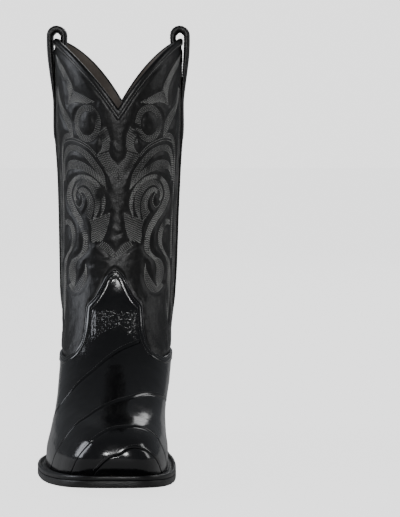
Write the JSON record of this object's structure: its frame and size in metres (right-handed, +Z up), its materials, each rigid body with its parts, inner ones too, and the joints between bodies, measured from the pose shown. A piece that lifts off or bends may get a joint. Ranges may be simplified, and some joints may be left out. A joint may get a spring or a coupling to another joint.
{
  "type": "western boot",
  "caption": "Pull-on western boot for the right foot, with a scalloped stitched shaft, two pull straps, a welted sole and a stacked heel.",
  "frame": {"origin": "centre of the boot's bounding box on the ground, under the sole", "axes": "+Z up, -Y towards the toe, +X towards the inner (medial) side of this right boot"},
  "size_m": [0.1189, 0.2939, 0.3521],
  "materials": {
    "vamp_leather": "polished",
    "shaft_leather": "satin",
    "edge_leather": "satin",
    "lining_leather": "matte",
    "welt_leather": "satin",
    "sole_leather": "satin",
    "stacked_leather": "satin",
    "insole_leather": "matte",
    "sock_leather": "matte",
    "rubber": "matte",
    "cork": "matte",
    "canvas": "matte",
    "stiffener": "matte",
    "wood": "matte",
    "steel": "brushed",
    "brass": "satin"
  },
  "bodies": {
    "boot": {"vamp_tongue": "vamp_leather", "vamp_strip_high": "vamp_leather", "vamp_strip_middle": "vamp_leather", "vamp_strip_low": "vamp_leather", "vamp_toe": "vamp_leather", "counter": "vamp_leather", "front_panel": "shaft_leather", "back_panel": "shaft_leather", "strap_outer_side_sewn_out": "shaft_leather", "strap_outer_side_sewn_in": "shaft_leather", "strap_inner_side_sewn_out": "shaft_leather", "strap_inner_side_sewn_in": "shaft_leather", "side_welt_outer": "edge_leather", "side_welt_inner": "edge_leather", "front_binding": "edge_leather", "back_binding": "edge_leather", "front_lining": "lining_leather", "back_lining": "lining_leather", "vamp_lining": "lining_leather", "heel_lining": "lining_leather", "welt": "welt_leather", "heel_rand": "welt_leather", "outsole": "sole_leather", "heel_lift_1": "stacked_leather", "heel_lift_2": "stacked_leather", "heel_lift_3": "stacked_leather", "heel_wedge": "stacked_leather", "insole": "insole_leather", "sock_liner": "sock_leather", "heel_cap": "rubber", "cork_filler": "cork", "vamp_interlining": "canvas", "toe_box": "stiffener", "counter_stiffener": "stiffener", "shank_peg_1": "wood", "shank_peg_2": "wood", "shank_peg_3": "wood", "shank_peg_4": "wood", "shank_peg_5": "wood", "shank_peg_6": "wood", "steel_shank": "steel", "heel_nail_1": "brass", "heel_nail_2": "brass", "heel_nail_3": "brass", "heel_nail_4": "brass", "heel_nail_5": "brass"},
    "outer_strap": {"strap_outer_side_loop": "shaft_leather"},
    "inner_strap": {"strap_inner_side_loop": "shaft_leather"}
  },
  "joints": [
    {"name": "outer_strap_bend", "type": "hinge", "parent": "boot", "child": "outer_strap", "pos_m": [-0.05081, 0.065, 0.3426], "axis": [0, 1, 0], "range_deg": [-20, 20], "stiffness_Nm_per_rad": 0.02},
    {"name": "inner_strap_bend", "type": "hinge", "parent": "boot", "child": "inner_strap", "pos_m": [0.05141, 0.065, 0.3426], "axis": [0, 1, 0], "range_deg": [-20, 20], "stiffness_Nm_per_rad": 0.02}
  ]
}
